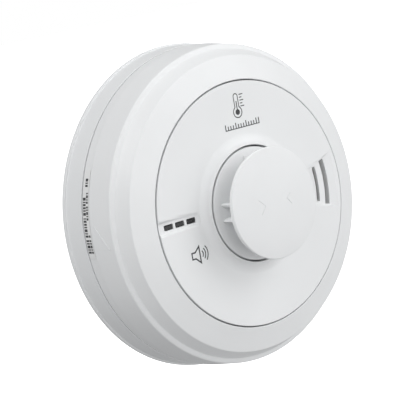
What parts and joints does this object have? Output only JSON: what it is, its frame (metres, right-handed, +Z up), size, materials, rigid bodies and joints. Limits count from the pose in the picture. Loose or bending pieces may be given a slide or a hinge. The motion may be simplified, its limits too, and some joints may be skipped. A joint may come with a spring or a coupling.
{
  "type": "heat detector",
  "caption": "Round mains heat alarm with slide-on mounting plate, ring-shaped test button, vented sensor nose, indicator windows and horn outlet.",
  "frame": {"origin": "centre of the mounting plate's flat rear face, over the cable entry", "axes": "+Y out of the rear face into the ceiling or wall, the front faces -Y, +Z up the face, indicators at -X and horn at +X"},
  "size_m": [0.141, 0.0568, 0.141],
  "materials": {
    "plate_plastic": "satin moulded",
    "housing_plastic": "satin moulded",
    "button_plastic": "fine satin moulded",
    "terminal_plastic": "satin moulded",
    "black_plastic": "satin",
    "amber_plastic": "dipped",
    "smoked_plastic": "polished smoked",
    "led_green": "clear tinted",
    "led_red": "clear tinted",
    "led_amber": "clear tinted",
    "bead_resin": "dipped",
    "board_green": "solder mask",
    "contact_brass": "stamped",
    "plated_steel": "nickel plated",
    "sounder_ceramic": "silvered",
    "label_paper": "matt label"
  },
  "bodies": {
    "mounting_plate": {"mounting_plate": "plate_plastic", "terminal_block": "terminal_plastic", "terminal_cover": "plate_plastic", "terminal_screw_live": "plated_steel", "terminal_screw_neutral": "plated_steel", "terminal_screw_interconnect": "plated_steel", "terminal_contact_live": "contact_brass", "terminal_contact_neutral": "contact_brass", "terminal_contact_interconnect": "contact_brass"},
    "release_catch": {"release_catch": "plate_plastic"},
    "alarm_head": {"rear_housing": "housing_plastic", "date_label": "label_paper", "housing_screw_1": "plated_steel", "housing_screw_2": "plated_steel", "housing_screw_3": "plated_steel", "contact_blade_live": "contact_brass", "contact_blade_neutral": "contact_brass", "contact_blade_interconnect": "contact_brass", "front_cover": "housing_plastic", "button_spring_1": "plated_steel", "button_spring_2": "plated_steel", "button_spring_3": "plated_steel", "sensor_housing": "housing_plastic", "sensor_cap": "housing_plastic", "thermistor": "bead_resin", "thermistor_lead_1": "plated_steel", "thermistor_lead_2": "plated_steel", "circuit_board": "board_green", "led_power": "led_green", "led_alarm": "led_red", "led_fault": "led_amber", "light_guide_power": "smoked_plastic", "light_guide_alarm": "smoked_plastic", "light_guide_fault": "smoked_plastic", "tact_switch": "black_plastic", "horn_chamber": "housing_plastic", "sounder_disc": "contact_brass", "sounder_ceramic": "sounder_ceramic", "lithium_cell_1": "plated_steel", "lithium_cell_2": "plated_steel", "mains_capacitor": "amber_plastic", "smoothing_capacitor": "black_plastic", "supply_transformer": "amber_plastic", "controller_chip": "black_plastic"},
    "test_button": {"test_button": "button_plastic"},
    "switch_plunger": {"switch_plunger": "button_plastic"}
  },
  "joints": [
    {"name": "head_slide", "type": "slide", "parent": "mounting_plate", "child": "alarm_head", "axis": [-1, 0, 0], "range_m": [0, 0.012]},
    {"name": "catch_release", "type": "hinge", "parent": "mounting_plate", "child": "release_catch", "pos_m": [0.05, -0.0054, 0], "axis": [0, 0, 1], "range_deg": [0, 6], "stiffness_Nm_per_rad": 0.3, "springref_deg": -2.86},
    {"name": "button_press", "type": "slide", "parent": "alarm_head", "child": "test_button", "axis": [0, 1, 0], "range_m": [0, 0.0012], "stiffness_N_per_m": 900, "springref_m": -0.0015, "deforming": ["button_spring_1", "button_spring_2", "button_spring_3"]},
    {"name": "plunger_travel", "type": "slide", "parent": "alarm_head", "child": "switch_plunger", "axis": [0, 1, 0], "range_m": [0, 0.0012]}
  ],
  "couplings": [
    {"joint": "plunger_travel", "follows": "button_press", "ratio": 1}
  ]
}
